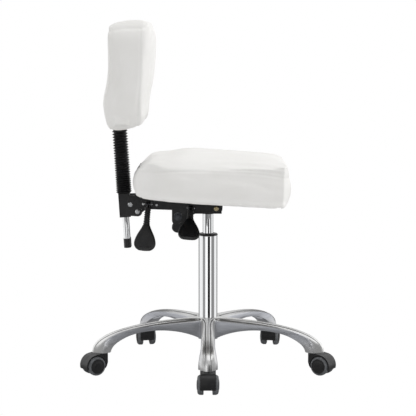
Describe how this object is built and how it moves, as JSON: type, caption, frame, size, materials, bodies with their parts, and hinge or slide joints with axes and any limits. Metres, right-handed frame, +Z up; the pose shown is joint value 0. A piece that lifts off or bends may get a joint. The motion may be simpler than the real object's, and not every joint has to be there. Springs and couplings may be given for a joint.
{
  "type": "pedicure stool",
  "caption": "Rolling salon stool: saddle seat that tilts on a gas column, reclining and sliding backrest, cast star base on twin-wheel casters.",
  "frame": {"origin": "on the floor, on the axis of the gas column", "axes": "+X is the way the sitter faces, +Y is the sitter's left, +Z is up"},
  "size_m": [0.6706, 0.6417, 0.9277],
  "materials": {
    "cast_aluminium": "die-cast, polished and lacquered",
    "zinc_plated_steel": "bright zinc plate",
    "chrome_steel": "chrome plate over polished steel tube",
    "black_plastic": "fine moulded texture",
    "black_rubber": "matt moulded rubber",
    "black_painted_steel": "satin black powder coat",
    "yellow_zinc_steel": "yellow passivated zinc plate",
    "grey_lock_steel": "dark zinc plate",
    "white_upholstery": "white coated upholstery over foam",
    "plywood": "bare plywood",
    "caster_hood_nylon": "moulded black nylon",
    "axle_steel": "plain ground steel",
    "caster_tyre": "grey-black polyurethane tread on a black nylon wheel"
  },
  "bodies": {
    "base": {"star_base": "cast_aluminium", "caster_stems": "zinc_plated_steel", "column_tube": "chrome_steel", "guide_bush": "black_plastic"},
    "gas_rod": {"piston_rod": "zinc_plated_steel", "column_clip": "zinc_plated_steel", "thrust_bearing": "zinc_plated_steel", "column_bumper": "black_rubber"},
    "lift": {"pressure_tube": "chrome_steel", "cone_socket": "black_painted_steel", "mech_channel": "black_painted_steel", "tilt_pivot_bolt": "yellow_zinc_steel"},
    "release_pin": {"release_pin": "zinc_plated_steel"},
    "height_lever": {"gas_lever": "grey_lock_steel", "gas_paddle": "black_plastic", "gas_lever_cap": "zinc_plated_steel"},
    "seat": {"seat_frame": "black_painted_steel", "tilt_lock_rod": "grey_lock_steel", "clutch_bolts": "zinc_plated_steel", "lever_pins": "zinc_plated_steel", "recline_spring": "zinc_plated_steel", "back_pivot_bolt": "zinc_plated_steel", "seat_cushion": "white_upholstery", "seat_board": "plywood", "seat_bolts": "zinc_plated_steel", "seat_vent": "black_plastic"},
    "recline_lever": {"recline_lever": "grey_lock_steel", "recline_paddle": "black_plastic"},
    "tilt_lever": {"tilt_lever": "grey_lock_steel", "tilt_paddle": "black_plastic"},
    "back_arm": {"back_bracket": "black_painted_steel", "stem_clamp_bolt": "zinc_plated_steel", "bellows": "black_rubber"},
    "backrest": {"back_stem": "chrome_steel", "stem_cap": "black_plastic", "back_pad": "white_upholstery", "back_board": "plywood", "back_screws": "zinc_plated_steel"},
    "caster_1": {"caster_1_housing": "caster_hood_nylon", "caster_1_axle": "axle_steel"},
    "caster_1_left_wheel": {"caster_1_wheel_left": "caster_tyre"},
    "caster_1_right_wheel": {"caster_1_wheel_right": "caster_tyre"},
    "caster_2": {"caster_2_housing": "caster_hood_nylon", "caster_2_axle": "axle_steel"},
    "caster_2_left_wheel": {"caster_2_wheel_left": "caster_tyre"},
    "caster_2_right_wheel": {"caster_2_wheel_right": "caster_tyre"},
    "caster_3": {"caster_3_housing": "caster_hood_nylon", "caster_3_axle": "axle_steel"},
    "caster_3_left_wheel": {"caster_3_wheel_left": "caster_tyre"},
    "caster_3_right_wheel": {"caster_3_wheel_right": "caster_tyre"},
    "caster_4": {"caster_4_housing": "caster_hood_nylon", "caster_4_axle": "axle_steel"},
    "caster_4_left_wheel": {"caster_4_wheel_left": "caster_tyre"},
    "caster_4_right_wheel": {"caster_4_wheel_right": "caster_tyre"},
    "caster_5": {"caster_5_housing": "caster_hood_nylon", "caster_5_axle": "axle_steel"},
    "caster_5_left_wheel": {"caster_5_wheel_left": "caster_tyre"},
    "caster_5_right_wheel": {"caster_5_wheel_right": "caster_tyre"}
  },
  "joints": [
    {"name": "seat_swivel", "type": "hinge", "parent": "base", "child": "gas_rod", "pos_m": [0, 0, 0.074], "axis": [0, 0, 1], "continuous": true},
    {"name": "seat_height", "type": "slide", "parent": "gas_rod", "child": "lift", "axis": [0, 0, 1], "range_m": [0, 0.18]},
    {"name": "height_lever", "type": "hinge", "parent": "lift", "child": "height_lever", "pos_m": [-0.02, 0.0495, 0.428], "axis": [1, 0, 0], "range_deg": [0, 5.5], "stiffness_Nm_per_rad": 6, "springref_deg": -2.86},
    {"name": "release_pin", "type": "slide", "parent": "lift", "child": "release_pin", "axis": [0, 0, 1], "range_m": [-0.005, 0]},
    {"name": "seat_tilt", "type": "hinge", "parent": "lift", "child": "seat", "pos_m": [0.022, 0, 0.43], "axis": [0, -1, 0], "range_deg": [0, 8]},
    {"name": "recline_lever", "type": "hinge", "parent": "seat", "child": "recline_lever", "pos_m": [-0.15652, -0.0495, 0.44311], "axis": [-0.9973, 0, 0.0732], "range_deg": [0, 12], "stiffness_Nm_per_rad": 4, "springref_deg": -2.86},
    {"name": "tilt_lever", "type": "hinge", "parent": "seat", "child": "tilt_lever", "pos_m": [-0.04497, -0.0495, 0.43291], "axis": [-0.9973, 0, 0.0732], "range_deg": [0, 12], "stiffness_Nm_per_rad": 4, "springref_deg": -2.86},
    {"name": "back_recline", "type": "hinge", "parent": "seat", "child": "back_arm", "pos_m": [-0.18635, 0, 0.41923], "axis": [0, -1, 0], "range_deg": [0, 20]},
    {"name": "back_height", "type": "slide", "parent": "back_arm", "child": "backrest", "axis": [-0.0628, 0, 0.998], "range_m": [-0.03, 0.05], "deforming": ["bellows"]},
    {"name": "caster_1_swivel", "type": "hinge", "parent": "base", "child": "caster_1", "pos_m": [0, -0.295, 0.058], "axis": [0, 0, 1], "continuous": true},
    {"name": "caster_1_left_wheel", "type": "hinge", "parent": "caster_1", "child": "caster_1_left_wheel", "pos_m": [0, -0.318, 0.025], "axis": [1, 0, 0], "continuous": true},
    {"name": "caster_1_right_wheel", "type": "hinge", "parent": "caster_1", "child": "caster_1_right_wheel", "pos_m": [0, -0.318, 0.025], "axis": [1, 0, 0], "continuous": true},
    {"name": "caster_2_swivel", "type": "hinge", "parent": "base", "child": "caster_2", "pos_m": [0.28056, -0.09116, 0.058], "axis": [0, 0, 1], "continuous": true},
    {"name": "caster_2_left_wheel", "type": "hinge", "parent": "caster_2", "child": "caster_2_left_wheel", "pos_m": [0.29985, -0.10369, 0.025], "axis": [0.5446, 0.8387, 0], "continuous": true},
    {"name": "caster_2_right_wheel", "type": "hinge", "parent": "caster_2", "child": "caster_2_right_wheel", "pos_m": [0.29985, -0.10369, 0.025], "axis": [0.5446, 0.8387, 0], "continuous": true},
    {"name": "caster_3_swivel", "type": "hinge", "parent": "base", "child": "caster_3", "pos_m": [0.1734, 0.23866, 0.058], "axis": [0, 0, 1], "continuous": true},
    {"name": "caster_3_left_wheel", "type": "hinge", "parent": "caster_3", "child": "caster_3_left_wheel", "pos_m": [0.17818, 0.26116, 0.025], "axis": [-0.9781, 0.2079, 0], "continuous": true},
    {"name": "caster_3_right_wheel", "type": "hinge", "parent": "caster_3", "child": "caster_3_right_wheel", "pos_m": [0.17818, 0.26116, 0.025], "axis": [-0.9781, 0.2079, 0], "continuous": true},
    {"name": "caster_4_swivel", "type": "hinge", "parent": "base", "child": "caster_4", "pos_m": [-0.1734, 0.23866, 0.058], "axis": [0, 0, 1], "continuous": true},
    {"name": "caster_4_left_wheel", "type": "hinge", "parent": "caster_4", "child": "caster_4_left_wheel", "pos_m": [-0.17818, 0.26116, 0.025], "axis": [-0.9781, -0.2079, 0], "continuous": true},
    {"name": "caster_4_right_wheel", "type": "hinge", "parent": "caster_4", "child": "caster_4_right_wheel", "pos_m": [-0.17818, 0.26116, 0.025], "axis": [-0.9781, -0.2079, 0], "continuous": true},
    {"name": "caster_5_swivel", "type": "hinge", "parent": "base", "child": "caster_5", "pos_m": [-0.28056, -0.09116, 0.058], "axis": [0, 0, 1], "continuous": true},
    {"name": "caster_5_left_wheel", "type": "hinge", "parent": "caster_5", "child": "caster_5_left_wheel", "pos_m": [-0.29985, -0.10369, 0.025], "axis": [0.5446, -0.8387, 0], "continuous": true},
    {"name": "caster_5_right_wheel", "type": "hinge", "parent": "caster_5", "child": "caster_5_right_wheel", "pos_m": [-0.29985, -0.10369, 0.025], "axis": [0.5446, -0.8387, 0], "continuous": true}
  ],
  "couplings": [
    {"joint": "release_pin", "follows": "height_lever", "m_per_rad": -0.052}
  ]
}
